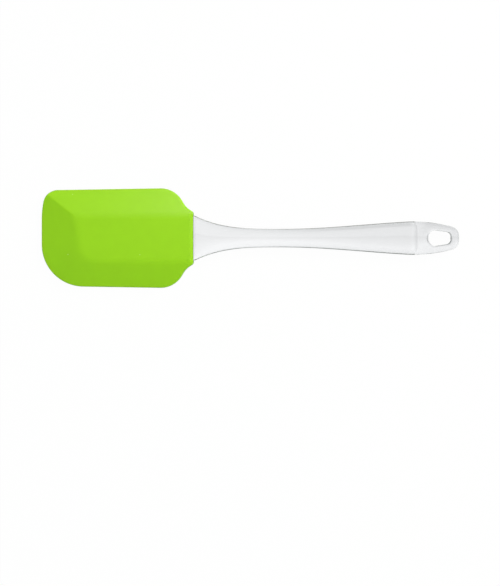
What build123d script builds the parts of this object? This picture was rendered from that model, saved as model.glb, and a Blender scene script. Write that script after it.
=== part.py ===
from build123d import *
import math
import os

# A kitchen spatula in two pieces: a soft silicone head with a bevelled blade and a thin scraping lip,
# pushed over the flat tang of a clear moulded handle with a hanging hole.
# The spatula lies on its back. X runs from the toe of the head (-X) to the tip of the handle (+X),
# Y runs across the blade, and Z is up. The origin is under the middle of the length, on the floor.
# All sizes are in millimetres and all angles in degrees.

# Head: plan
head_length = 91.0
head_width = 60.0
toe_width = 57.4
big_corner_radius = 25.2
small_corner_radius = 9.6
toe_ease_height = 15.8
toe_ease_angle = 10.0
toe_ease_radius = 54.0
shoulder_run = 11.1
shoulder_radius = 14.6
neck_flare_run = 4.5
neck_flare_angle = 30.0
neck_flare_radius = 12.0
neck_width = 31.4
neck_corner_radius = 2.4

# Head: section
head_thickness = 10.4
lip_thickness = 1.4
plateau_width = 27.8
short_bevel_run = 19.8
long_bevel_run = 25.0
crest_corner_radius = 9.0
foot_corner_radius = 29.0
crest_round = 14.0
neck_edge_round = 2.0

# Handle: grip
handle_length = 158.8
waist_run = 54.0
waist_width = 11.9
butt_width = 20.9
shoulder_step = 0.5
waist_thickness = 8.4
butt_thickness = 10.4
crown_rise = 0.7
side_rise = 0.5
edge_round = 3.0
shoulder_round = 0.7

# Handle: thin tab with the hanging hole, past the step in the grip
tab_length = 26.2
tab_inset = 0.25
tab_side_bow = 1.0
tab_tip_width = 12.0
tab_root_thickness = 7.0
tab_tip_thickness = 5.2
tab_edge_round = 1.8
tip_corner_radius = 5.6
step_hollow_radius = 30.0
step_round = 0.8
hole_length = 15.6
hole_wide_end = 10.0
hole_narrow_end = 7.2
hole_wide_radius = 3.0
hole_narrow_radius = 2.6
hole_tip_wall = 2.8
hole_rim_chamfer = 0.5

# Tang of the handle, and the pocket in the head that it fills
tang_ledge = 2.2
tang_side_taper = 1.1
tang_root_thickness = 4.4
tang_face_taper = 0.35
tang_tip_radius = 7.0
rib_length = 46.0
rib_width = 1.6
rib_height = 0.5
rib_ramp = 3.0
rib_spacing = 11.0
pocket_toe_wall = 26.0
pocket_clearance = 0.2
pocket_end_clearance = 1.0
shoulder_gap = 0.2

# How far cutting and fusing bodies run past what they meet
overrun = 4.0

# Counts of sections along the grip, from shoulder to waist and from waist to butt
flare_section_count = 14
swell_section_count = 12
# Powers that bunch the sections at the shoulder, where the flare bends most, and that close the flare
bunching_power = 1.4
flare_power = 3
# The share of a smooth rise that the swell of the grip takes up, so that it still opens at the butt
swell_reach_share = 0.9
# A fillet takes at most this share of the wall or corner that carries it
fillet_limit_share = 0.9
# A face counts as upright while its normal leans by less than this share
upright_share = 0.02

# Sizes that follow from the others
overall_length = head_length + shoulder_gap + handle_length
shoulder_width = neck_width - 2 * neck_edge_round
shoulder_thickness = head_thickness - 2 * shoulder_step
tang_length = head_length + shoulder_gap - pocket_toe_wall - pocket_end_clearance
tang_root_width = shoulder_width - 2 * tang_ledge
mid_height = max(head_thickness, butt_thickness) / 2

# Places along X
toe_x = -overall_length / 2
neck_x = toe_x + head_length
shoulder_x = neck_x + shoulder_gap
waist_x = shoulder_x + waist_run
tip_x = overall_length / 2
butt_x = tip_x - tab_length


def slope(angle):
    """Rise per length at an angle in degrees."""
    return math.tan(math.radians(angle))


def rounded_face(points, radii):
    """A flat face through the points, each corner an arc of its radius or of what its sides leave room for."""
    corners = [Vector(*point) for point in points]
    followers = corners[1:] + corners[:1]
    halves = []
    for i, corner in enumerate(corners):
        inner_angle = (corners[i - 1] - corner).get_angle(followers[i] - corner)
        halves.append(math.radians(inner_angle) / 2)
    reaches = [radius / math.tan(half) for radius, half in zip(radii, halves)]
    fits = []
    for corner, follower, reach, next_reach in zip(corners, followers, reaches, reaches[1:] + reaches[:1]):
        wanted = reach + next_reach
        fits.append(min(1, fillet_limit_share * (follower - corner).length / wanted) if wanted else 1)
    reaches = [reach * min(fits[i - 1], fits[i]) for i, reach in enumerate(reaches)]

    ends = []
    lines = []
    for i, corner in enumerate(corners):
        back = (corners[i - 1] - corner).normalized()
        ahead = (followers[i] - corner).normalized()
        ends.append((corner + back * reaches[i], corner + ahead * reaches[i]))
        if reaches[i]:
            radius = reaches[i] * math.tan(halves[i])
            bow = radius / math.sin(halves[i]) - radius
            lines.append(ThreePointArc(ends[i][0], corner + (back + ahead).normalized() * bow, ends[i][1]))
    lines += [Line(end[1], next_end[0]) for end, next_end in zip(ends, ends[1:] + ends[:1])]
    return make_face(lines)


def mirrored(points):
    """The points followed by their mirror images across the long axis, in the order of one outline."""
    return points + [(x, -y) for x, y in reversed(points)]


def stands_upright(face):
    """Whether a face is a wall of the outline, square to the floor."""
    return abs(face.normal_at(face.center()).Z) < upright_share


def rims_of_walls(body):
    """The edges where the upright walls of a body meet its other faces."""
    walls = [face for face in body.faces() if stands_upright(face)]
    found = [edge for wall in walls for edge in wall.edges()]
    return [edge for edge in found if sum(edge.is_same(other) for other in found) == 1]


def side_y(x):
    """Half width of the blade at x: its long sides open slightly from the toe to the shoulders."""
    opening = (head_width - toe_width) / 2 / (head_length - shoulder_run)
    return toe_width / 2 + opening * (x - toe_x)


def head_block():
    """The full thickness of the head inside its plan: a big and a small toe corner, curved shoulders, a neck."""
    shoulder = (neck_x - shoulder_run, side_y(neck_x - shoulder_run))
    flare = (neck_x - neck_flare_run, neck_width / 2 + neck_flare_run * slope(neck_flare_angle))
    neck = (neck_x, neck_width / 2)
    lean = (side_y(toe_x) - toe_ease_height) * slope(toe_ease_angle)
    small_corner = (toe_x + lean, side_y(toe_x + lean))
    big_corner = (toe_x, -side_y(toe_x))
    points = [neck, flare, shoulder, small_corner, (toe_x, toe_ease_height), big_corner]
    points += [(x, -y) for x, y in (shoulder, flare, neck)]
    radii = [neck_corner_radius, neck_flare_radius, shoulder_radius, small_corner_radius]
    radii += [toe_ease_radius, big_corner_radius, shoulder_radius, neck_flare_radius, neck_corner_radius]
    return extrude(rounded_face(points, radii), head_thickness / 2, both=True)


def bevelled_blade():
    """The raised plateau with ruled bevels round it on both faces, and its crests softened."""
    crest = head_thickness / 2
    lip = lip_thickness / 2
    run_on = lip / (crest - lip)
    far_x = neck_x + overrun
    side = plateau_width / 2
    plateau = [(far_x, side), (toe_x + short_bevel_run, side), (toe_x + long_bevel_run, -side), (far_x, -side)]
    edge = [(far_x, side_y(far_x)), (toe_x, side_y(toe_x)), (toe_x, -side_y(toe_x)), (far_x, -side_y(far_x))]
    foot = [(e[0] + (e[0] - p[0]) * run_on, e[1] + (e[1] - p[1]) * run_on) for e, p in zip(edge, plateau)]
    top = Pos(0, 0, crest) * rounded_face(plateau, [0, 0, crest_corner_radius, 0])
    bottom = rounded_face(foot, [0, 0, foot_corner_radius, 0])
    half_blade = loft([bottom, top], ruled=True)
    blade = half_blade + mirror(half_blade, Plane.XY)
    crests = [e for e in blade.edges() if abs(e.center().Z) > crest - lip and e.center().X < neck_x]
    return fillet(crests, crest_round)


def tang(extra, end_extra):
    """The flat tapered tang with its ribs, or with extra all round it the shape of its pocket."""
    root_x = shoulder_x + overrun
    end_x = shoulder_x - tang_length - end_extra

    def half_width(x):
        return tang_root_width / 2 + extra - slope(tang_side_taper) * (shoulder_x - x)

    def half_thickness(x):
        return tang_root_thickness / 2 + extra - slope(tang_face_taper) * (shoulder_x - x)

    plan = mirrored([(root_x, half_width(root_x)), (end_x, half_width(end_x))])
    side = mirrored([(root_x, half_thickness(root_x)), (end_x, half_thickness(end_x))])
    tip_radius = tang_tip_radius + extra
    flat = extrude(rounded_face(plan, [0, tip_radius, tip_radius, 0]), tang_root_thickness, both=True)
    body = flat & extrude(Plane.XZ * make_face(Polyline(*side, close=True)), tang_root_width, both=True)

    rib_end = shoulder_x - rib_length - extra
    ramp_top = rib_end + rib_ramp
    rib = [(rib_end, 0), (rib_end, half_thickness(rib_end)), (ramp_top, half_thickness(ramp_top) + rib_height)]
    rib += [(root_x, half_thickness(root_x) + rib_height), (root_x, 0)]
    bar = extrude(Plane.XZ * make_face(Polyline(*rib, close=True)), rib_width / 2 + extra, both=True)
    bar += mirror(bar, Plane.XY)
    for y in (-rib_spacing / 2, rib_spacing / 2):
        body += Pos(0, y, 0) * bar
    return body


def silicone_head():
    """The soft head: bevelled blade, thin lip, rounded neck and the pocket that grips the tang."""
    block = head_block()
    neck_round = min(neck_edge_round, fillet_limit_share * neck_corner_radius)
    head = bevelled_blade() & fillet(rims_of_walls(block), neck_round)
    return head - tang(pocket_clearance, pocket_end_clearance)


def grip_section(x, width, thickness):
    """A section across the grip at x: four gently crowned sides with rounded corners between them."""
    side = width / 2 - side_rise
    top = thickness / 2 - crown_rise
    upper = ThreePointArc((-side, top), (0, thickness / 2), (side, top))
    right = ThreePointArc((side, top), (width / 2, 0), (side, -top))
    lower = ThreePointArc((side, -top), (0, -thickness / 2), (-side, -top))
    left = ThreePointArc((-side, -top), (-width / 2, 0), (-side, top))
    face = make_face(Wire([upper, right, lower, left]))
    face = fillet(face.vertices(), min(edge_round, fillet_limit_share * top))
    return Plane(origin=(x, 0, 0), x_dir=(0, 1, 0), z_dir=(1, 0, 0)) * face


def swell(share):
    """A smooth rise from 0 that starts level and slows down towards its end, at a share of its run."""
    return share * share * (3 - 2 * share)


def grip():
    """The grip, lofted from the shoulder over the waist to the butt, with a hollow end face for the tab."""
    sections = []
    for i in range(flare_section_count):
        place = (i / flare_section_count) ** bunching_power
        left = (1 - place) ** flare_power
        width = waist_width + left * (shoulder_width - waist_width)
        thickness = waist_thickness + (1 - swell(place)) * (shoulder_thickness - waist_thickness)
        sections.append(grip_section(shoulder_x + place * waist_run, width, thickness))
    full_x = butt_x - edge_round
    for i in range(swell_section_count + 1):
        place = i / swell_section_count
        gained = swell(swell_reach_share * place) / swell(swell_reach_share)
        width = waist_width + gained * (butt_width - waist_width)
        thickness = waist_thickness + gained * (butt_thickness - waist_thickness)
        sections.append(grip_section(waist_x + place * (full_x - waist_x), width, thickness))
    sections.append(grip_section(butt_x + overrun, butt_width, butt_thickness))
    body = loft(sections, ruled=True)
    body -= Pos(butt_x + step_hollow_radius, 0, 0) * Cylinder(step_hollow_radius, butt_thickness + overrun)
    shoulder_edges = [e for e in body.edges() if abs(e.center().X - shoulder_x) < shoulder_round]
    body = fillet(shoulder_edges, shoulder_round)
    step_edges = [e for e in body.edges() if e.center().X > butt_x - step_round]
    return fillet(step_edges, step_round)


def tab():
    """The thin end of the handle: bowed sides that close in to a rounded tip, and the hanging hole."""
    root_x = butt_x - overrun
    half_root = butt_width / 2 - tab_inset
    half_tip = tab_tip_width / 2
    middle_x = (butt_x + tip_x) / 2
    middle_y = (half_root + half_tip) / 2 + tab_side_bow
    left = ThreePointArc((butt_x, half_root), (middle_x, middle_y), (tip_x, half_tip))
    right = ThreePointArc((tip_x, -half_tip), (middle_x, -middle_y), (butt_x, -half_root))
    root = Polyline((butt_x, -half_root), (root_x, -half_root), (root_x, half_root), (butt_x, half_root))
    plan = make_face([left, Line((tip_x, half_tip), (tip_x, -half_tip)), right, root])
    plan = fillet(plan.vertices().group_by(Axis.X)[-1], tip_corner_radius)

    thinning = (tab_root_thickness - tab_tip_thickness) / 2 / tab_length
    far_x = tip_x + overrun
    side = [(x, tab_tip_thickness / 2 + thinning * (tip_x - x)) for x in (root_x, far_x)]
    wedge = extrude(Plane.XZ * make_face(Polyline(*mirrored(side), close=True)), butt_width, both=True)
    body = extrude(plan, tab_root_thickness, both=True) & wedge
    rims = [e for e in rims_of_walls(body) if e.center().X > root_x]
    body = fillet(rims, min(tab_edge_round, fillet_limit_share * tab_tip_thickness / 2))

    hole_end = tip_x - hole_tip_wall
    hole = mirrored([(hole_end - hole_length, hole_wide_end / 2), (hole_end, hole_narrow_end / 2)])
    radii = [hole_wide_radius, hole_narrow_radius, hole_narrow_radius, hole_wide_radius]
    cutter = extrude(rounded_face(hole, radii), tab_root_thickness, both=True)
    outer_rims = rims_of_walls(body)
    body -= cutter
    hole_rims = [e for e in rims_of_walls(body) if not any(e.is_same(other) for other in outer_rims)]
    return chamfer(hole_rims, hole_rim_chamfer)


def clear_handle():
    """The rigid handle in one moulding: grip, tab with the hanging hole, and the tang inside the head."""
    return grip() + tab() + tang(0, 0)


os.makedirs("parts", exist_ok=True)
for name, solid in (("silicone_head", silicone_head()), ("clear_handle", clear_handle())):
    placed = Pos(0, 0, mid_height) * solid
    placed.label = name
    export_step(placed, f"parts/{name}.step")
    print(name, "volume", round(placed.volume), "valid", placed.is_valid)
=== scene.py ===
import math

import bmesh
import bpy
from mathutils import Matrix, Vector


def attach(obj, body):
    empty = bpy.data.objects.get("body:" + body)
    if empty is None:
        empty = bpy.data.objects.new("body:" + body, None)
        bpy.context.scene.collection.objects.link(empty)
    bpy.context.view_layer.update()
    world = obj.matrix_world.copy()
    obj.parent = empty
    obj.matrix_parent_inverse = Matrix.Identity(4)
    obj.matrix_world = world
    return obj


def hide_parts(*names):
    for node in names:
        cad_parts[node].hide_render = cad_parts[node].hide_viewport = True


# A silicone spatula lying on a pale table, seen from straight above: a lime head with bevelled faces and a
# thin scraping lip, pushed over the tang of a clear moulded handle. X runs from the toe of the head to the tip
# of the handle, Y across the blade and Z up. Sizes are in millimetres, turned to metres where they are used.

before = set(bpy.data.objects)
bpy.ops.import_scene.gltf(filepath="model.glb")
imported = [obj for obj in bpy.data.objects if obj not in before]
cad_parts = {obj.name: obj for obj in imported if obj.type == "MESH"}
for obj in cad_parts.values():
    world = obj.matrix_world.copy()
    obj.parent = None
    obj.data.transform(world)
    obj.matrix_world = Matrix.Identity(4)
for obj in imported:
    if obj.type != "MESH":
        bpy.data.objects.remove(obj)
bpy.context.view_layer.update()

MM = 0.001
MID = 5.2

# Head, in plan
TOE_X = -125.0
NECK_X = -34.0
SIDE_AT_TOE = 28.7
SIDE_AT_SHOULDER = 30.0
SHOULDER_RUN = 11.1
NECK_FLARE_RUN = 4.5
NECK_HALF = 15.7
NECK_FLARE_HALF = 18.3
TOE_EASE_Y = 15.8
TOE_EASE_LEAN = 2.27
NECK_CORNER_RADIUS = 2.4
NECK_FLARE_RADIUS = 12.0
SHOULDER_RADIUS = 14.6
SMALL_CORNER_RADIUS = 9.0
TOE_EASE_RADIUS = 50.5
BIG_CORNER_RADIUS = 25.2

# Head, in section
HEAD_HALF = 5.2
LIP_HALF = 0.7
PLATEAU_HALF = 13.9
SHORT_BEVEL_RUN = 19.8
LONG_BEVEL_RUN = 25.0
CREST_CORNER_RADIUS = 9.0
FOOT_CORNER_RADIUS = 29.0
CREST_SOFTENING = 2.2
LIP_ROUND = 0.5
NECK_ROUND = 1.3
NECK_END_ROUND = 0.3
# How fast the rim's rounding grows from the lip up the bevels
ROUND_GROWTH = 1.6
RIM_MARGIN = 2.15
GRID_STEP = 0.8
# How far the bevels are drawn past the neck's end, which then cuts them off
BLADE_PAST = 4.0
HEAD_SMOOTH_ANGLE = 40.0

# Grip
SHOULDER_X = -33.8
SHOULDER_PLANED_RUN = 1.4
SHOULDER_PLANED_DROP = 0.375
WAIST_X = 20.2
FULL_X = 95.6
# Where the grip's sections lie along X, between the planed end of its shoulder and its full butt
GRIP_PLACES = [-31.0, -28, -24, -19.5, -14.5, -9, -3, 4, 12, WAIST_X, 29, 38, 48, 58, 68, 78, 86, 92]
SHOULDER_HALF = 13.9
WAIST_HALF = 5.58
BUTT_HALF = 10.05
SHOULDER_HALF_THICK = 4.7
WAIST_HALF_THICK = 4.2
BUTT_HALF_THICK = 5.2
# How steeply the flare closes towards the waist, and the share of a smooth rise that the swell takes up
FLARE_POWER = 3.4
SWELL_REACH = 0.8
CROWN_RISE = 0.7
SIDE_RISE = 0.5
# The rounding of the long edges grows from slim at the waist to full shortly before the butt
SLIM_ROUND = 0.85
BUTT_ROUND = 2.9
ROUND_FULL_X = FULL_X - 12
ROUND_POWER = 1.3
# The border of the butt's flat panel is kept crisp. The normals of the panel's faces rise by more than the
# first share, and those of the faces beside it by less, but more than the second.
PANEL_START_X = 30.0
PANEL_RISE = 0.955
BESIDE_RISE = 0.8
PANEL_CREASE = 0.6
# The step: where each of its sections lies along X, and the share of the thickness that is left there
STEP_DOWN = [(96.9, 1.0), (97.7, 0.955), (98.6, 0.88), (99.5, 0.81), (100.7, 0.72), (102.2, 0.55)]
STEP_HOLLOW_RADIUS = 30.0
STEP_NARROWING = 0.3
HANDLE_SMOOTH_ANGLE = 32.0

# Tab
TAB_ROOT_X = 94.8
TAB_ROOT_HALF = 8.0
TAB_FULL_X = 98.8
TIP_X = 125.0
TAB_HALF = 9.85
TAB_TIP_HALF = 5.7
# Corners of the bowed side between them, as x, half width and the radius that blends each one away
TAB_BOW = [(103.9, 9.8, 80), (112.04, 8.85, 80), (119.0, 7.35, 40)]
TAB_ROOT_HALF_THICK = 4.2
TAB_TIP_HALF_THICK = 2.6
TAB_ROUND = 1.5
# Extra thickness of the raw tab on each face, planed off again
TAB_SPARE = 0.3
# Where lines are drawn across the tab, and how many strips each half of it gets, so that its crown is smooth
TAB_LINES = [96.6, 97.6, 98.7, 99.7, 100.7, 102.2, 103.7, 105.2]
TAB_STRIPS = 9
# How much the crown thins each face of the tab at its long sides, and where its cage starts and ends. The
# crown is full after one part in CROWN_START_RATE of the cage's length.
TAB_CROWN = 2.25
CROWN_START_X = 95.5
CROWN_END_X = 126.0
CROWN_START_RATE = 3.5
CAGE_SPAN = 2.2
TIP_CORNER_RADIUS = 5.6
HOLE_START_X = 106.3
HOLE_END_X = 120.7
HOLE_WIDE_HALF = 5.45
HOLE_NARROW_HALF = 3.4
HOLE_ROUND = 0.75
HOLE_WIDE_RADIUS = 4.6
HOLE_NARROW_RADIUS = 3.1

# Tang
TANG_LENGTH = 64.2
TANG_HALF = 11.5
TANG_HALF_THICK = 2.2
TANG_SIDE_TAPER = math.tan(math.radians(1.1))
TANG_FACE_TAPER = math.tan(math.radians(0.35))
TANG_TIP_RADIUS = 7.0
TANG_ROUND = 0.5
TANG_SPARE = 1.0
# How far the tang starts inside the grip, and how deep the low end of a rib starts inside the tang
TANG_START = 2.0
RIB_SINK = 0.05
RIB_LENGTH = 46.0
RIB_HALF = 0.8
RIB_HEIGHT = 0.5
RIB_RAMP = 3.0
RIB_Y = 5.5
POCKET_CLEARANCE = 0.2
POCKET_END_CLEARANCE = 1.0

# Surface detail. Real dust and the real eggshell skin of moulded rubber are about 0.1 mm fine. That is too fine
# to show at 0.6 mm to the pixel, so both are drawn as coarse as they need to show.
# Painted glow: within this half thickness of the mid-plane, which takes in the thin lip, the base colour is
# yellower, standing in for light let through the thin rubber
PAINTED_LIP_GLOW_HALF = 1.15
CLOUD_SIZE = 6.0
DUST_SPACING = 8.0
DUST_SIZE = 0.55
SKIN_SIZE = 0.7
WEAR_SIZE = 9.0
RIPPLE_SIZE = 12.0

# Light: the key lamp stands to the right and behind, as the tones of the bevels say. The second lamp is aimed
# at the head's upper bevel. Places, distances and sizes of the lamps, and the table's size, are in metres.
KEY_SIDE = 32.0
KEY_RISE = 40.0
KEY_DISTANCE = 1.2
KEY_SIZE = 0.6
KEY_POWER = 11.0
KEY_COLOUR = (1.06, 0.96, 0.9)
SHEEN_PLACE = (0.113, 0.371, 0.575)
# In millimetres, as a point of the head
SHEEN_AIM = (-80.0, 22.0, 7.0)
SHEEN_SIZE = 0.3
SHEEN_POWER = 1.3
SHEEN_COLOUR = (1.2, 0.86, 1.2)
SKY = 0.495
SKY_COLOUR = (0.8, 1.02, 0.9, 1.0)
MIRRORED_SKY = 0.04
TABLE_SIZE = 6.0
TABLE_DROP = 0.05
TABLE_SHADE = 0.02
UPPER_TENT = 0.75
TENT_RADIUS = 2800.0
WALL_TONE = 0.45
WALL_TOP = 0.4
# How the tent's light changes with direction, step by step: how a step joins the light so far, and its ramps,
# which are multiplied. A ramp runs along an axis between two places, from one value to another.
TENT_STEPS = [
    # Lighter on the lamp's side, with the edge of a panel almost straight below
    ("ADD", [("Y", -0.02, 0.1, 0.92, 1.075)]),
    ("ADD", [("Y", -0.024, -0.02, 0.06, 0.0)]),
    # Darker on the other side, most of all towards the handle's tip, and a little lighter again at its far end
    ("ADD", [("Y", -0.3, -0.08, -0.09, 0.0), ("X", 0.06, 0.16, 0.3, 1.0)]),
    ("ADD", [("Y", -0.7, -0.35, 0.05, 0.0)]),
    # Lighter still further out on the lamp's side, then dark behind the lamp
    ("ADD", [("Y", 0.1, 0.6, 0.0, 0.08)]),
    ("ADD", [("Y", 0.6, 0.85, 0.0, -0.25)]),
    # Darker towards the spatula's two ends
    ("ADD", [("X", -0.5, -0.2, -0.1, 0.0)]),
    ("MULTIPLY", [("X", 0.0, 0.18, 1.0, 0.955)]),
]

# View: the lens follows from the height of the table that the picture takes in. The shift, in pixels of the
# photograph, is there because the spatula isn't in its middle, and the camera stands right above the spatula.
CAMERA_HEIGHT = 0.5252
CAMERA_DISTANCE = 520.0
FRAME_HEIGHT = 351.6
SENSOR = 36
PHOTO_HEIGHT = 586
SHIFT_X = -0.15
SHIFT_Y = -54.9


# Working by hand


def choose(piece):
    """Selects one piece alone and makes it the active one."""
    bpy.ops.object.select_all(action="DESELECT")
    piece.select_set(True)
    bpy.context.view_layer.objects.active = piece


def open_piece(piece):
    """Selects one piece alone and opens it in edit mode."""
    choose(piece)
    bpy.ops.object.mode_set(mode="EDIT")


def close_piece():
    bpy.ops.object.mode_set(mode="OBJECT")


def pick(kind, wanted):
    """In the open piece, selects only the vertices, edges or faces that wanted says yes to."""
    bpy.ops.mesh.select_mode(type=kind)
    bpy.ops.mesh.select_all(action="DESELECT")
    mesh = bmesh.from_edit_mesh(bpy.context.object.data)
    members = {"VERT": mesh.verts, "EDGE": mesh.edges, "FACE": mesh.faces}[kind]
    for member in members:
        if wanted(member):
            member.select_set(True)
    mesh.select_flush_mode()
    bmesh.update_edit_mesh(bpy.context.object.data)


def slide_by(x, y, z):
    """Extrudes what is selected and moves it by this many millimetres."""
    bpy.ops.mesh.extrude_region_move(TRANSFORM_OT_translate={"value": (x * MM, y * MM, z * MM)})


def bisect(place, across, threshold):
    """In the open piece, draws a line all round it where a plane square to across cuts it at a place."""
    bpy.ops.mesh.select_all(action="SELECT")
    bpy.ops.mesh.bisect(plane_co=[c * MM for c in place], plane_no=across, threshold=threshold * MM)


def round_edges(width, segments):
    """In the open piece, rounds the selected edges."""
    bpy.ops.mesh.bevel(
        offset=width * MM,
        segments=segments,
        profile=0.5,
        affect="EDGES",
        clamp_overlap=False,
    )


def turn_outwards():
    """In the open piece, turns all faces outwards."""
    bpy.ops.mesh.select_all(action="SELECT")
    bpy.ops.mesh.normals_make_consistent(inside=False)


def mirror_down(threshold):
    """In the open upper half of a piece, adds the same half upside down and joins the two."""
    bpy.ops.mesh.select_all(action="SELECT")
    bpy.ops.mesh.duplicate()
    bpy.ops.transform.resize(value=(1, 1, -1), center_override=(0, 0, MID * MM))
    bpy.ops.mesh.select_all(action="SELECT")
    bpy.ops.mesh.remove_doubles(threshold=threshold * MM)
    bpy.ops.mesh.normals_make_consistent(inside=False)


def use_modifier(piece, kind, **settings):
    """Puts a modifier on a piece and applies it."""
    choose(piece)
    modifier = piece.modifiers.new(kind.title(), kind)
    for setting, value in settings.items():
        setattr(modifier, setting, value)
    bpy.ops.object.modifier_apply(modifier=modifier.name)


def combine(piece, other, operation):
    """Joins, cuts or keeps the overlap of two closed pieces; the other one is used up."""
    use_modifier(piece, "BOOLEAN", operation=operation, object=other, solver="EXACT")
    bpy.data.objects.remove(other)


def drawn_outline(name, corners, radii, height, run_steps, arc_steps):
    """A filled flat outline, drawn as one line: straight runs, and corners spun about their centres."""
    corners = [Vector(corner) for corner in corners]
    turns = []
    for i, corner in enumerate(corners):
        back = (corners[i - 1] - corner).normalized()
        ahead = (corners[(i + 1) % len(corners)] - corner).normalized()
        turn = -(-back).angle_signed(ahead)
        reach = radii[i] * math.tan(abs(turn) / 2)
        middle = corner
        if radii[i]:
            middle = corner + (back + ahead).normalized() * radii[i] / math.cos(turn / 2)
        turns.append((corner + back * reach, corner + ahead * reach, middle, turn))
    start = turns[0][1]
    bpy.ops.mesh.primitive_plane_add(size=MM, location=(start.x * MM, start.y * MM, height * MM))
    piece = bpy.context.object
    piece.name = name
    bpy.ops.object.transform_apply(location=True, rotation=True, scale=True)
    open_piece(piece)
    bpy.ops.mesh.select_mode(type="VERT")
    bpy.ops.mesh.select_all(action="SELECT")
    bpy.ops.mesh.merge(type="CENTER")
    at = start
    for i in list(range(1, len(corners))) + [0]:
        entry, leave, middle, turn = turns[i]
        for _ in range(run_steps[i - 1]):
            step = (entry - at) / run_steps[i - 1]
            slide_by(step.x, step.y, 0)
        if radii[i]:
            bpy.ops.mesh.spin(
                steps=arc_steps[i],
                angle=-turn,
                center=(middle.x * MM, middle.y * MM, height * MM),
                axis=(0, 0, 1),
            )
            end = Vector((leave.x, leave.y, height)) * MM
            pick("VERT", lambda vertex: (vertex.co - end).length < 0.01 * MM)
        at = leave
    bpy.ops.mesh.select_all(action="SELECT")
    bpy.ops.mesh.remove_doubles(threshold=0.01 * MM)
    bpy.ops.mesh.edge_face_add()
    close_piece()
    return piece


# Silicone head


def side_at(x):
    """Half width of the blade at x: its long sides open slightly towards the shoulders."""
    opening = (SIDE_AT_SHOULDER - SIDE_AT_TOE) / (NECK_X - SHOULDER_RUN - TOE_X)
    return SIDE_AT_TOE + opening * (x - TOE_X)


def head_face():
    """The plan of the head, flat: a plain margin along its outline, and a fine grid inside that."""
    shoulder_x = NECK_X - SHOULDER_RUN
    flare_x = NECK_X - NECK_FLARE_RUN
    corners = [
        (NECK_X, NECK_HALF),
        (flare_x, NECK_FLARE_HALF),
        (shoulder_x, SIDE_AT_SHOULDER),
        (TOE_X + TOE_EASE_LEAN, side_at(TOE_X + TOE_EASE_LEAN)),
        (TOE_X, TOE_EASE_Y),
        (TOE_X, -SIDE_AT_TOE),
        (shoulder_x, -SIDE_AT_SHOULDER),
        (flare_x, -NECK_FLARE_HALF),
        (NECK_X, -NECK_HALF),
    ]
    radii = [NECK_CORNER_RADIUS, NECK_FLARE_RADIUS, SHOULDER_RADIUS, SMALL_CORNER_RADIUS]
    radii += [TOE_EASE_RADIUS, BIG_CORNER_RADIUS, SHOULDER_RADIUS, NECK_FLARE_RADIUS, NECK_CORNER_RADIUS]
    runs = [1] * len(corners)
    arcs = [6, 6, 12, 14, 4, 22, 12, 6, 6]
    face = drawn_outline("spatula_head", corners, radii, MID, runs, arcs)
    open_piece(face)
    bpy.ops.mesh.select_all(action="SELECT")
    bpy.ops.mesh.inset(thickness=RIM_MARGIN * MM)
    bpy.ops.mesh.hide(unselected=True)
    for along, reach in ((Vector((1, 0, 0)), -TOE_X), (Vector((0, 1, 0)), SIDE_AT_SHOULDER)):
        for i in range(1, math.ceil(2 * reach / GRID_STEP)):
            bpy.ops.mesh.select_all(action="SELECT")
            place = along * (i * GRID_STEP - reach) * MM
            bpy.ops.mesh.bisect(plane_co=place, plane_no=along, threshold=0.001 * MM)
    bpy.ops.mesh.reveal()
    close_piece()
    return face


def bevelled_blade():
    """The plateau with its long ruled bevels on both faces, the crests softened."""
    far_x = NECK_X + BLADE_PAST
    run_on = LIP_HALF / (HEAD_HALF - LIP_HALF)
    plateau = [
        Vector((far_x, PLATEAU_HALF)),
        Vector((TOE_X + SHORT_BEVEL_RUN, PLATEAU_HALF)),
        Vector((TOE_X + LONG_BEVEL_RUN, -PLATEAU_HALF)),
        Vector((far_x, -PLATEAU_HALF)),
    ]
    edge = [
        Vector((far_x, side_at(far_x))),
        Vector((TOE_X, SIDE_AT_TOE)),
        Vector((TOE_X, -SIDE_AT_TOE)),
        Vector((far_x, -side_at(far_x))),
    ]
    foot = [e + (e - p) * run_on for e, p in zip(edge, plateau)]
    runs = [8, 20, 10, 1]
    arcs = [0, 0, 18, 0]
    top = drawn_outline("blade_top", plateau, [0, 0, CREST_CORNER_RADIUS, 0], MID + HEAD_HALF, runs, arcs)
    blade = drawn_outline("blade", foot, [0, 0, FOOT_CORNER_RADIUS, 0], MID, runs, arcs)
    open_piece(blade)
    bpy.ops.mesh.delete(type="ONLY_FACE")
    close_piece()
    bpy.ops.object.select_all(action="DESELECT")
    top.select_set(True)
    blade.select_set(True)
    bpy.context.view_layer.objects.active = blade
    bpy.ops.object.join()
    open_piece(blade)
    pick("EDGE", lambda e: True)
    bpy.ops.mesh.bridge_edge_loops()
    crest_z = (MID + HEAD_HALF - 0.01) * MM

    def on_crest(edge):
        return min(v.co.z for v in edge.verts) > crest_z

    pick("EDGE", on_crest)
    bpy.ops.mesh.edge_face_add()
    pick("EDGE", lambda edge: on_crest(edge) and min(v.co.x for v in edge.verts) < (far_x - 1) * MM)
    round_edges(CREST_SOFTENING, 6)
    mirror_down(0.01)
    close_piece()
    return blade


def rim_round_at(point):
    """How far the rim is rounded over at a point of the outline: little at the lip and at the neck's end, and
    full at the neck's sides."""
    share = (point.z / MM - MID - LIP_HALF) / (HEAD_HALF - LIP_HALF)
    rounding = LIP_ROUND + (NECK_ROUND - LIP_ROUND) * min(1, max(0, share * ROUND_GROWTH))
    from_end = min(1, max(0, (NECK_X - point.x / MM) / NECK_CORNER_RADIUS))
    return NECK_END_ROUND + (rounding - NECK_END_ROUND) * from_end


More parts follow.
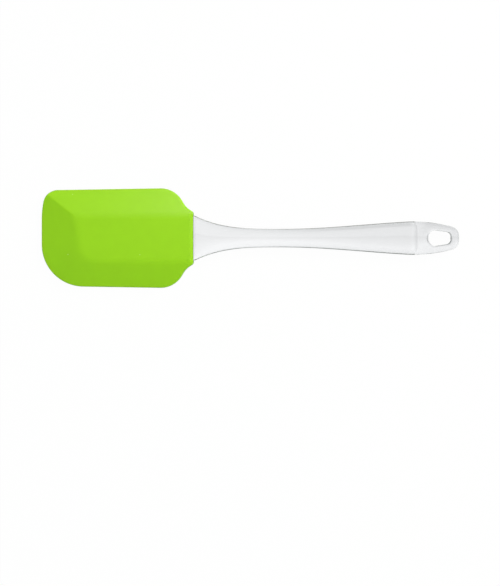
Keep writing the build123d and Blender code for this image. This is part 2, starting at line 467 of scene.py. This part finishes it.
def silicone_head():
    """The head without its pocket: the plan pressed up onto the bevels, its rim rounded, and mirrored down."""
    head = head_face()
    blade = bevelled_blade()
    use_modifier(
        head,
        "SHRINKWRAP",
        target=blade,
        wrap_method="PROJECT",
        use_project_z=True,
        use_positive_direction=True,
        use_negative_direction=False,
    )
    bpy.data.objects.remove(blade)
    open_piece(head)
    pick("EDGE", lambda edge: edge.is_boundary)
    slide_by(0, 0, -1)
    bpy.ops.transform.resize(value=(1, 1, 0), center_override=(0, 0, MID * MM))
    close_piece()
    mesh = bmesh.new()
    mesh.from_mesh(head.data)
    layer = mesh.edges.layers.float.new("bevel_weight_edge")
    for edge in mesh.edges:
        upright = [abs(face.normal.z) < 0.05 for face in edge.link_faces]
        if sum(upright) == 1 and len(upright) == 2:
            middle = (edge.verts[0].co + edge.verts[1].co) / 2
            edge[layer] = rim_round_at(middle) / NECK_ROUND
    mesh.to_mesh(head.data)
    mesh.free()
    use_modifier(
        head,
        "BEVEL",
        width=NECK_ROUND * MM,
        segments=5,
        limit_method="WEIGHT",
        use_clamp_overlap=False,
    )
    open_piece(head)
    mirror_down(0.005)
    close_piece()
    bpy.ops.object.shade_smooth_by_angle(angle=math.radians(HEAD_SMOOTH_ANGLE))
    return head


# Clear handle


def drawn_bar(name, sections):
    """A closed four-sided bar along X through sections of (x, half width, half thickness)."""
    x, half_width, half_thick = sections[0]
    turned = (0, math.radians(90), 0)
    bpy.ops.mesh.primitive_plane_add(size=2 * MM, rotation=turned, location=(x * MM, 0, MID * MM))
    bar = bpy.context.object
    bar.name = name
    bpy.ops.object.transform_apply(location=True, rotation=True, scale=True)
    open_piece(bar)
    bpy.ops.mesh.select_mode(type="FACE")
    bpy.ops.mesh.select_all(action="SELECT")
    bpy.ops.transform.resize(value=(1, half_width, half_thick), center_override=(x * MM, 0, MID * MM))
    for next_x, next_width, next_thick in sections[1:]:
        slide_by(next_x - x, 0, 0)
        wider = (1, next_width / half_width, next_thick / half_thick)
        bpy.ops.transform.resize(value=wider, center_override=(next_x * MM, 0, MID * MM))
        x, half_width, half_thick = next_x, next_width, next_thick
    turn_outwards()
    close_piece()
    return bar


def swell(share):
    """A smooth rise from 0 that starts level and slows down towards its end, at a share of its run."""
    return share * share * (3 - 2 * share)


def grip_half(x):
    """Half width and half thickness of the grip at x."""
    if x < WAIST_X:
        run = (x - SHOULDER_X) / (WAIST_X - SHOULDER_X)
        half = WAIST_HALF + (1 - run) ** FLARE_POWER * (SHOULDER_HALF - WAIST_HALF)
        thick = WAIST_HALF_THICK + (1 - swell(run)) * (SHOULDER_HALF_THICK - WAIST_HALF_THICK)
        return half, thick
    run = min(1, (x - WAIST_X) / (FULL_X - WAIST_X))
    gained = swell(SWELL_REACH * run) / swell(SWELL_REACH)
    half = WAIST_HALF + gained * (BUTT_HALF - WAIST_HALF)
    thick = WAIST_HALF_THICK + gained * (BUTT_HALF_THICK - WAIST_HALF_THICK)
    return half, thick


def grip_round(x):
    """How far the long edges of the grip are rounded at x: little from shoulder to waist, more at the butt."""
    share = min(1, max(0, (x - WAIST_X) / (ROUND_FULL_X - WAIST_X)))
    return SLIM_ROUND + (BUTT_ROUND - SLIM_ROUND) * share**ROUND_POWER


def near(value, wanted):
    """Whether a value in metres is within a hundredth of this many millimetres."""
    return abs(value / MM - wanted) < 0.01


def level(edge, *axes):
    """Whether both ends of an edge are at the same place along each of these axes."""
    first, second = edge.verts
    return all(near(getattr(first.co, axis), getattr(second.co, axis) / MM) for axis in axes)


def step_hollow(y):
    """How many millimetres further along X the hollow step lies at a y, which is in metres."""
    return STEP_HOLLOW_RADIUS - math.sqrt(STEP_HOLLOW_RADIUS**2 - (y / MM) ** 2)


def on_corner(vertex):
    """Whether a vertex of the raw grip is at one of the four corners of its section."""
    half, thick = grip_half(vertex.co.x / MM)
    at_side = near(abs(vertex.co.y), half - SIDE_RISE)
    return at_side and near(abs(vertex.co.z - MID * MM), thick - CROWN_RISE)


def grip():
    """The grip: a four-sided bar through its sections, with crowned sides, rounded long edges, the hollow step
    at its butt and the planed end of its shoulder."""
    places = [SHOULDER_X, SHOULDER_X + SHOULDER_PLANED_RUN] + GRIP_PLACES + [FULL_X]
    places += [x for x, share in STEP_DOWN]
    sections = []
    for x in places:
        half, thick = grip_half(x)
        sections.append((x, half - SIDE_RISE, thick - CROWN_RISE))
    bar = drawn_bar("spatula_handle", sections)
    open_piece(bar)
    pick("EDGE", lambda e: level(e, "x", "z"))
    bpy.ops.mesh.subdivide(number_cuts=3)
    pick("EDGE", lambda e: level(e, "x", "y"))
    bpy.ops.mesh.subdivide(number_cuts=1)
    for share, rise in ((0, CROWN_RISE), (0.5, 0.75 * CROWN_RISE)):
        for side in (1, -1):
            pick(
                "VERT",
                lambda v: near(abs(v.co.y), share * (grip_half(v.co.x / MM)[0] - SIDE_RISE))
                and near((v.co.z - MID * MM) * side, grip_half(v.co.x / MM)[1] - CROWN_RISE),
            )
            bpy.ops.transform.translate(value=(0, 0, side * rise * MM))
    for side in (1, -1):
        pick(
            "VERT",
            lambda v: near(v.co.z, MID) and near(v.co.y * side, grip_half(v.co.x / MM)[0] - SIDE_RISE),
        )
        bpy.ops.transform.translate(value=(0, side * SIDE_RISE * MM, 0))
    mesh = bmesh.from_edit_mesh(bar.data)
    layer = mesh.edges.layers.float.new("bevel_weight_edge")
    for edge in mesh.edges:
        if all(on_corner(v) for v in edge.verts) and not level(edge, "x"):
            x = (edge.verts[0].co.x + edge.verts[1].co.x) / 2 / MM
            edge[layer] = grip_round(x) / BUTT_ROUND
    close_piece()
    use_modifier(
        bar,
        "BEVEL",
        width=BUTT_ROUND * MM,
        segments=3,
        limit_method="WEIGHT",
        use_clamp_overlap=False,
    )
    open_piece(bar)

    def bounds_panel(edge):
        lower, higher = sorted(abs(face.normal.z) for face in edge.link_faces)
        borders = higher > PANEL_RISE > lower > BESIDE_RISE
        return borders and min(v.co.x for v in edge.verts) > PANEL_START_X * MM

    pick("EDGE", bounds_panel)
    bpy.ops.transform.edge_crease(value=PANEL_CREASE)
    step_x = (FULL_X + 0.5) * MM
    mesh = bmesh.from_edit_mesh(bar.data)
    offsets = sorted({round(abs(v.co.y) / MM, 2) for v in mesh.verts if v.co.x > step_x})
    for y in offsets:
        pick("VERT", lambda v: v.co.x > step_x and round(abs(v.co.y) / MM, 2) == y)
        bpy.ops.transform.translate(value=(step_hollow(y * MM) * MM, 0, 0))
    for x, share in STEP_DOWN[1:]:
        pick("VERT", lambda v: near(v.co.x, x + step_hollow(v.co.y)))
        smaller = (1, 1 - STEP_NARROWING * (1 - share), share)
        bpy.ops.transform.resize(value=smaller, center_override=(x * MM, 0, MID * MM))
    for x in (SHOULDER_X, SHOULDER_X + SHOULDER_PLANED_RUN):
        pick("EDGE", lambda e: all(near(v.co.x, x) and len(v.link_edges) > 2 for v in e.verts))
        bpy.ops.transform.edge_crease(value=1.0)
    pick("VERT", lambda v: near(v.co.x, SHOULDER_X))
    thinner = (1, 1, 1 - SHOULDER_PLANED_DROP / SHOULDER_HALF_THICK)
    bpy.ops.transform.resize(value=thinner, center_override=(SHOULDER_X * MM, 0, MID * MM))
    close_piece()
    use_modifier(bar, "SUBSURF", levels=3, render_levels=3)
    return bar


def plane_off(piece, place, normal):
    """Planes off all of a piece that lies past a place, square to the normal."""
    open_piece(piece)
    bpy.ops.mesh.select_all(action="SELECT")
    bpy.ops.mesh.bisect(
        plane_co=[c * MM for c in place],
        plane_no=normal,
        use_fill=True,
        clear_outer=True,
        threshold=0.001 * MM,
    )
    close_piece()


def raised(face, up):
    """Gives a flat outline its thickness, upwards."""
    open_piece(face)
    bpy.ops.mesh.select_all(action="SELECT")
    slide_by(0, 0, up)
    turn_outwards()
    close_piece()


def is_rim(edge):
    """Whether an edge runs between an upright wall and a flat face."""
    return sum(abs(face.normal.z) < 0.1 for face in edge.link_faces) == 1


def crown_tab(handle):
    """Thins the tab towards its long sides with a cage, which leaves both its faces gently crowned. The crown
    starts just before the step and is full about 9 mm further on, behind its foot."""
    size = Vector((CROWN_END_X - CROWN_START_X, CAGE_SPAN * BUTT_HALF, CAGE_SPAN * BUTT_HALF_THICK))
    middle_x = (CROWN_END_X + CROWN_START_X) / 2
    bpy.ops.object.select_all(action="DESELECT")
    bpy.ops.object.add(type="LATTICE", location=(middle_x * MM, 0, MID * MM))
    cage = bpy.context.object
    cage.scale = size * MM
    cage.data.points_u, cage.data.points_v, cage.data.points_w = 8, 11, 2
    cage.data.interpolation_type_u = "KEY_LINEAR"
    for point in cage.data.points:
        reach = point.co.y * size.y / TAB_HALF
        started = min(1, (point.co.x + 0.5) * CROWN_START_RATE)
        point.co_deform.z = point.co.z * (1 - started * TAB_CROWN * reach * reach / TAB_ROOT_HALF_THICK)
    bpy.context.view_layer.update()
    use_modifier(handle, "LATTICE", object=cage)
    bpy.data.objects.remove(cage)


def tab():
    """The thin end of the handle, with bowed sides, a rounded tip and the hanging hole."""
    upper = [(TAB_ROOT_X, TAB_ROOT_HALF), (TAB_FULL_X, TAB_HALF)]
    upper += [(x, y) for x, y, radius in TAB_BOW] + [(TIP_X, TAB_TIP_HALF)]
    corners = [(x, -y) for x, y in upper] + upper[::-1]
    half_radii = [0, 0] + [radius for x, y, radius in TAB_BOW] + [TIP_CORNER_RADIUS]
    half_arcs = [0, 0, 4, 4, 4, 12]
    plate = drawn_outline(
        "tab",
        corners,
        half_radii + half_radii[::-1],
        MID - TAB_ROOT_HALF_THICK - TAB_SPARE,
        [1] * len(corners),
        half_arcs + half_arcs[::-1],
    )
    raised(plate, 2 * TAB_ROOT_HALF_THICK + 2 * TAB_SPARE)
    thinning = (TAB_ROOT_HALF_THICK - TAB_TIP_HALF_THICK) / (TIP_X - TAB_FULL_X)
    for side in (1, -1):
        plane_off(plate, (TIP_X, 0, MID + side * TAB_TIP_HALF_THICK), (thinning, 0, side))
    hole_corners = [
        (HOLE_START_X, HOLE_WIDE_HALF),
        (HOLE_START_X, -HOLE_WIDE_HALF),
        (HOLE_END_X, -HOLE_NARROW_HALF),
        (HOLE_END_X, HOLE_NARROW_HALF),
    ]
    hole_radii = [HOLE_WIDE_RADIUS] * 2 + [HOLE_NARROW_RADIUS] * 2
    under = MID - 2 * TAB_ROOT_HALF_THICK
    hole = drawn_outline("hole", hole_corners, hole_radii, under, [1] * 4, [10] * 4)
    raised(hole, 4 * TAB_ROOT_HALF_THICK)
    combine(plate, hole, "DIFFERENCE")
    open_piece(plate)
    hole_middle = (HOLE_START_X + HOLE_END_X) / 2
    bisect((0, 0, 0), (0, 1, 0), 0.001)
    bisect((hole_middle, 0, 0), (1, 0, 0), 0.001)

    def in_hole(edge):
        x = (edge.verts[0].co.x + edge.verts[1].co.x) / 2 / MM
        y = (edge.verts[0].co.y + edge.verts[1].co.y) / 2 / MM
        return HOLE_START_X - 0.1 < x < HOLE_END_X + 0.1 and abs(y) < HOLE_WIDE_HALF + 0.1

    def in_outline(edge):
        return not in_hole(edge) and max(v.co.x for v in edge.verts) > (TAB_ROOT_X + 0.1) * MM

    pick("EDGE", lambda e: is_rim(e) and in_hole(e))
    round_edges(HOLE_ROUND, 5)
    pick("EDGE", lambda e: is_rim(e) and in_outline(e))
    round_edges(TAB_ROUND, 7)
    for i in range(1 - TAB_STRIPS, TAB_STRIPS):
        bisect((0, i * TAB_HALF / TAB_STRIPS, 0), (0, 1, 0), 0.02)
    for x in TAB_LINES:
        bisect((x, 0, 0), (1, 0, 0), 0.02)
    close_piece()
    return plate


def tang(extra, end_extra):
    """The flat tapered tang with its ribs, or with extra all round it the shape of its pocket."""
    root_x = SHOULDER_X + TANG_START
    end_x = SHOULDER_X - TANG_LENGTH - end_extra

    def half_at(x):
        return TANG_HALF + extra - TANG_SIDE_TAPER * (SHOULDER_X - x)

    def thick_at(x):
        return TANG_HALF_THICK + extra - TANG_FACE_TAPER * (SHOULDER_X - x)

    corners = [
        (end_x, half_at(end_x)),
        (end_x, -half_at(end_x)),
        (root_x, -half_at(root_x)),
        (root_x, half_at(root_x)),
    ]
    tip = TANG_TIP_RADIUS + extra
    under = MID - TANG_HALF_THICK - TANG_SPARE
    bar = drawn_outline("tang", corners, [tip, tip, 0, 0], under, [1] * 4, [12, 12, 0, 0])
    raised(bar, 2 * TANG_HALF_THICK + 2 * TANG_SPARE)
    for side in (1, -1):
        plane_off(bar, (SHOULDER_X, 0, MID + side * thick_at(SHOULDER_X)), (-TANG_FACE_TAPER, 0, side))
    open_piece(bar)
    pick("EDGE", lambda e: is_rim(e) and min(v.co.x for v in e.verts) < (root_x - 0.1) * MM)
    round_edges(TANG_ROUND, 3)
    close_piece()
    rib_end = SHOULDER_X - RIB_LENGTH - extra
    rib_sections = [
        (rib_end, RIB_HALF + extra, thick_at(rib_end) - RIB_SINK),
        (rib_end + RIB_RAMP, RIB_HALF + extra, thick_at(rib_end + RIB_RAMP) + RIB_HEIGHT),
        (root_x, RIB_HALF + extra, thick_at(root_x) + RIB_HEIGHT),
    ]
    for side in (1, -1):
        rib = drawn_bar("rib", rib_sections)
        open_piece(rib)
        bpy.ops.mesh.select_all(action="SELECT")
        bpy.ops.transform.translate(value=(0, side * RIB_Y * MM, 0))
        close_piece()
        combine(bar, rib, "UNION")
    return bar


def clear_handle():
    """The handle in one moulding: the grip, the crowned tab and the tang inside the head."""
    handle = grip()
    combine(handle, tab(), "UNION")
    crown_tab(handle)
    combine(handle, tang(0, 0), "UNION")
    choose(handle)
    bpy.ops.object.shade_smooth_by_angle(angle=math.radians(HANDLE_SMOOTH_ANGLE))
    return handle


# Materials


def linear(colour):
    """An sRGB hex colour as the linear one that a shader takes."""
    parts = [int(colour[i : i + 2], 16) / 255 for i in (1, 3, 5)]
    return [p / 12.92 if p <= 0.04045 else ((p + 0.055) / 1.055) ** 2.4 for p in parts] + [1.0]


def add_node(tree, kind, inputs=None, **settings):
    """Adds a node with its settings; each input gets a value, or a link where it is given a socket."""
    node = tree.nodes.new(kind)
    for setting, value in settings.items():
        setattr(node, setting, value)
    for name, value in (inputs or {}).items():
        if isinstance(value, bpy.types.NodeSocket):
            tree.links.new(value, node.inputs[name])
        else:
            node.inputs[name].default_value = value
    return node


# Numbers of the colour sockets of a Mix node
FIRST, SECOND, MIXED = 6, 7, 2


def new_material(name):
    material = bpy.data.materials.new(name)
    material.use_nodes = True
    material.node_tree.nodes.clear()
    return material


def moulded_silicone():
    """Moulded silicone rubber: an even satin lime, with a painted glow: the base colour is yellower in a band
    about the mid-plane, which takes in the thin lip, standing in for light let through the thin rubber. With
    the faint clouding and eggshell skin of moulded rubber, and the odd speck of the dust it draws."""
    material = new_material("moulded_silicone_rubber")
    tree = material.node_tree
    place = add_node(tree, "ShaderNodeTexCoord").outputs["Object"]
    height = add_node(tree, "ShaderNodeSeparateXYZ", {0: place}).outputs["Z"]
    above = add_node(tree, "ShaderNodeMath", {0: height, 1: MID * MM}, operation="SUBTRACT").outputs[0]
    half_thick = add_node(tree, "ShaderNodeMath", {0: above}, operation="ABSOLUTE").outputs[0]
    # Painted glow: the yellower colour #9CCF05 about the mid-plane, at the thin lip, stands in for light
    # shining through the rubber
    painted_lip_glow = add_node(
        tree,
        "ShaderNodeMapRange",
        {"Value": half_thick, "From Min": 0.5 * LIP_HALF * MM, "From Max": PAINTED_LIP_GLOW_HALF * MM},
    ).outputs[0]
    body = add_node(
        tree,
        "ShaderNodeMix",
        {0: painted_lip_glow, FIRST: linear("#9CCF05"), SECOND: linear("#97D60B")},
        data_type="RGBA",
    ).outputs[MIXED]
    cloud = add_node(
        tree,
        "ShaderNodeTexNoise",
        {"Vector": place, "Scale": 1 / (CLOUD_SIZE * MM), "Detail": 3.0},
    )
    shade = add_node(
        tree,
        "ShaderNodeMapRange",
        {"Value": cloud.outputs[0], "From Min": 0.3, "From Max": 0.7, "To Min": 0.985, "To Max": 1.015},
    ).outputs[0]
    clouded = add_node(tree, "ShaderNodeHueSaturation", {"Color": body, "Value": shade}).outputs[0]
    dust = add_node(tree, "ShaderNodeTexVoronoi", {"Vector": place, "Scale": 1 / (DUST_SPACING * MM)})
    small = add_node(
        tree,
        "ShaderNodeMath",
        {0: dust.outputs["Distance"], 1: DUST_SIZE / 2 / DUST_SPACING},
        operation="LESS_THAN",
    ).outputs[0]
    pale = add_node(
        tree,
        "ShaderNodeMix",
        {0: small, FIRST: clouded, SECOND: linear("#CDEB8E")},
        data_type="RGBA",
    ).outputs[MIXED]
    skin = add_node(
        tree,
        "ShaderNodeTexNoise",
        {"Vector": place, "Scale": 1 / (SKIN_SIZE * MM), "Detail": 2.0},
    )
    bumps = add_node(
        tree,
        "ShaderNodeBump",
        {"Height": skin.outputs[0], "Strength": 0.25, "Distance": 0.03 * MM},
    ).outputs[0]
    rubber = add_node(
        tree,
        "ShaderNodeBsdfPrincipled",
        {
            "Base Color": pale,
            "Normal": bumps,
            "Roughness": 0.38,
            "IOR": 1.41,
            "Specular IOR Level": 0.8,
            "Subsurface Weight": 0.08,
            "Subsurface Radius": (1.0, 1.0, 0.3),
            "Subsurface Scale": 1.2 * MM,
        },
    )
    add_node(tree, "ShaderNodeOutputMaterial", {"Surface": rubber.outputs[0]})
    return material


def moulded_polystyrene():
    """Clear polystyrene, moulded and polished: water clear with a cool grey cast through its thickness, with
    painted shade at its rims, where the base colour greys towards grazing: it stands in for the darker horizon
    the rims bend the view to, and partly for the longer path through the plastic. Very slightly hazy from
    washing."""
    material = new_material("moulded_clear_polystyrene")
    tree = material.node_tree
    place = add_node(tree, "ShaderNodeTexCoord").outputs["Object"]
    wear = add_node(
        tree,
        "ShaderNodeTexNoise",
        {"Vector": place, "Scale": 1 / (WEAR_SIZE * MM), "Detail": 4.0},
    )
    haze = add_node(
        tree,
        "ShaderNodeMapRange",
        {"Value": wear.outputs[0], "From Min": 0.35, "From Max": 0.75, "To Min": 0.03, "To Max": 0.07},
    ).outputs[0]
    ripple = add_node(
        tree,
        "ShaderNodeTexNoise",
        {"Vector": place, "Scale": 1 / (RIPPLE_SIZE * MM), "Detail": 1.0},
    )
    flow = add_node(
        tree,
        "ShaderNodeBump",
        {"Height": ripple.outputs[0], "Strength": 0.2, "Distance": 0.05 * MM},
    ).outputs[0]
    # Painted shade: the base colour greys from #FCFDFE to #CBCDCF towards the rims, standing in for the dark
    # horizon seen through them, and partly for the longer path through the plastic
    rim = add_node(tree, "ShaderNodeLayerWeight", {"Blend": 0.5}).outputs["Facing"]
    rim = add_node(tree, "ShaderNodeMath", {0: rim, 1: 0.6}, operation="POWER").outputs[0]
    body = add_node(
        tree,
        "ShaderNodeMix",
        {0: rim, FIRST: linear("#FCFDFE"), SECOND: linear("#CBCDCF")},
        data_type="RGBA",
    ).outputs[MIXED]
    plastic = add_node(
        tree,
        "ShaderNodeBsdfPrincipled",
        {
            "Base Color": body,
            "Roughness": haze,
            "Normal": flow,
            "IOR": 1.59,
            "Transmission Weight": 1.0,
        },
    )
    add_node(tree, "ShaderNodeOutputMaterial", {"Surface": plastic.outputs[0]})
    return material


def table_top():
    """A matt white table under soft light: white to the eye, with a trace of shadow."""
    material = new_material("matt_white_table")
    tree = material.node_tree
    ray = add_node(tree, "ShaderNodeLightPath").outputs
    white = add_node(tree, "ShaderNodeEmission", {"Color": (1, 1, 1, 1), "Strength": 1.0 - TABLE_SHADE})
    lit = add_node(tree, "ShaderNodeBsdfDiffuse", {"Color": (TABLE_SHADE,) * 3 + (1,)})
    bright = add_node(tree, "ShaderNodeAddShader", {0: white.outputs[0], 1: lit.outputs[0]})
    plain = add_node(tree, "ShaderNodeBsdfDiffuse", {"Color": (0.8, 0.8, 0.8, 1)})
    both = add_node(
        tree,
        "ShaderNodeMixShader",
        {0: ray["Is Camera Ray"], 1: plain.outputs[0], 2: bright.outputs[0]},
    )
    glass = add_node(tree, "ShaderNodeBsdfTransparent")
    table = add_node(
        tree,
        "ShaderNodeMixShader",
        {0: ray["Is Transmission Ray"], 1: both.outputs[0], 2: glass.outputs[0]},
    )
    add_node(tree, "ShaderNodeOutputMaterial", {"Surface": table.outputs[0]})
    return material


def tent_light(tree, way):
    """How bright the studio's white tent is in a direction, where clear plastic bends its view to: the steps
    of TENT_STEPS, and darker round the horizon."""
    axes = add_node(tree, "ShaderNodeSeparateXYZ", {0: way}).outputs
    light = 0.0
    for operation, ramps in TENT_STEPS:
        step = 1.0
        for axis, start, end, first, last in ramps:
            inputs = {"Value": axes[axis], "From Min": start, "From Max": end, "To Min": first, "To Max": last}
            ramp = add_node(tree, "ShaderNodeMapRange", inputs).outputs[0]
            step = add_node(tree, "ShaderNodeMath", {0: step, 1: ramp}, operation="MULTIPLY").outputs[0]
        light = add_node(tree, "ShaderNodeMath", {0: light, 1: step}, operation=operation).outputs[0]
    height = add_node(tree, "ShaderNodeMath", {0: axes["Z"]}, operation="ABSOLUTE").outputs[0]
    inputs = {"Value": height, "From Min": 0.0, "From Max": WALL_TOP, "To Min": WALL_TONE, "To Max": 1.0}
    wall = add_node(tree, "ShaderNodeMapRange", inputs, interpolation_type="SMOOTHSTEP").outputs[0]
    return add_node(tree, "ShaderNodeMath", {0: light, 1: wall}, operation="MULTIPLY").outputs[0]


def white_tent():
    """The tent below the table, which only the view through the clear plastic reaches."""
    material = new_material("white_tent")
    tree = material.node_tree
    place = add_node(tree, "ShaderNodeTexCoord").outputs["Object"]
    way = add_node(tree, "ShaderNodeVectorMath", {0: place}, operation="NORMALIZE").outputs[0]
    glow = add_node(tree, "ShaderNodeEmission", {"Color": (1, 1, 1, 1), "Strength": tent_light(tree, way)})
    add_node(tree, "ShaderNodeOutputMaterial", {"Surface": glow.outputs[0]})
    return material


# The two pieces

head = silicone_head()
combine(head, tang(POCKET_CLEARANCE, POCKET_END_CLEARANCE), "DIFFERENCE")
use_modifier(head, "WEIGHTED_NORMAL", keep_sharp=True)
head.data.materials.clear()
head.data.materials.append(moulded_silicone())
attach(head, "head")
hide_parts("silicone_head")

handle = clear_handle()
handle.data.materials.clear()
handle.data.materials.append(moulded_polystyrene())
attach(handle, "handle")
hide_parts("clear_handle")

# Table, light and camera

bpy.ops.mesh.primitive_plane_add(size=TABLE_SIZE, location=(0, 0, -TABLE_DROP * MM))
table = bpy.context.object
table.name = "table"
table.data.materials.append(table_top())

bpy.ops.mesh.primitive_uv_sphere_add(segments=64, ring_count=32, radius=TENT_RADIUS * MM)
tent = bpy.context.object
tent.name = "tent"
open_piece(tent)
pick("VERT", lambda vertex: vertex.co.z > -1 * MM)
bpy.ops.mesh.delete(type="VERT")
close_piece()
tent.data.materials.append(white_tent())

world = bpy.data.worlds.new("studio")
bpy.context.scene.world = world
world.use_nodes = True
world.node_tree.nodes.clear()
tree = world.node_tree
ray = add_node(tree, "ShaderNodeLightPath").outputs
way = add_node(tree, "ShaderNodeTexCoord").outputs["Generated"]
light = tent_light(tree, way)
walls = add_node(tree, "ShaderNodeMath", {0: light, 1: UPPER_TENT}, operation="MULTIPLY").outputs[0]
soft = add_node(tree, "ShaderNodeBackground", {"Color": SKY_COLOUR, "Strength": SKY})
studio = add_node(tree, "ShaderNodeBackground", {"Color": (1, 1, 1, 1), "Strength": walls})
dim = add_node(tree, "ShaderNodeBackground", {"Color": (1, 1, 1, 1), "Strength": MIRRORED_SKY})
clear = add_node(tree, "ShaderNodeBackground", {"Color": (1, 1, 1, 1), "Strength": 1.0})
around = soft
for kind, seen in (("Is Transmission Ray", studio), ("Is Glossy Ray", dim), ("Is Camera Ray", clear)):
    inputs = {0: ray[kind], 1: around.outputs[0], 2: seen.outputs[0]}
    around = add_node(tree, "ShaderNodeMixShader", inputs)
add_node(tree, "ShaderNodeOutputWorld", {"Surface": around.outputs[0]})


def soft_lamp(name, place, size, power, colour, aim):
    """A square lamp at a place, aimed at a point, that isn't seen through the clear plastic."""
    lamp = bpy.data.lights.new(name, "AREA")
    lamp.energy = power
    lamp.size = size
    lamp.color = colour
    lamp_object = bpy.data.objects.new(name, lamp)
    lamp_object.visible_transmission = False
    bpy.context.scene.collection.objects.link(lamp_object)
    lamp_object.location = place
    lamp_object.rotation_euler = (place - aim).to_track_quat("Z", "Y").to_euler()
    return lamp_object


side, rise = math.radians(KEY_SIDE), math.radians(KEY_RISE)
towards = Vector((math.cos(rise) * math.cos(side), math.cos(rise) * math.sin(side), math.sin(rise)))
key = soft_lamp("key", towards * KEY_DISTANCE, KEY_SIZE, KEY_POWER, KEY_COLOUR, Vector((0, 0, 0)))
key.visible_glossy = False
aim = Vector(SHEEN_AIM) * MM
sheen = soft_lamp("sheen", Vector(SHEEN_PLACE), SHEEN_SIZE, SHEEN_POWER, SHEEN_COLOUR, aim)
lit_by_sheen = bpy.data.collections.new("lit_by_sheen")
lit_by_sheen.objects.link(head)
sheen.light_linking.receiver_collection = lit_by_sheen

camera = bpy.data.cameras.new("camera")
camera_object = bpy.data.objects.new("camera", camera)
bpy.context.scene.collection.objects.link(camera_object)
camera_object.location = (0, 0, CAMERA_HEIGHT)
camera.lens = SENSOR * CAMERA_DISTANCE / FRAME_HEIGHT
camera.shift_x = SHIFT_X / PHOTO_HEIGHT
camera.shift_y = SHIFT_Y / PHOTO_HEIGHT
bpy.context.scene.camera = camera_object
bpy.context.scene.view_settings.view_transform = "Standard"
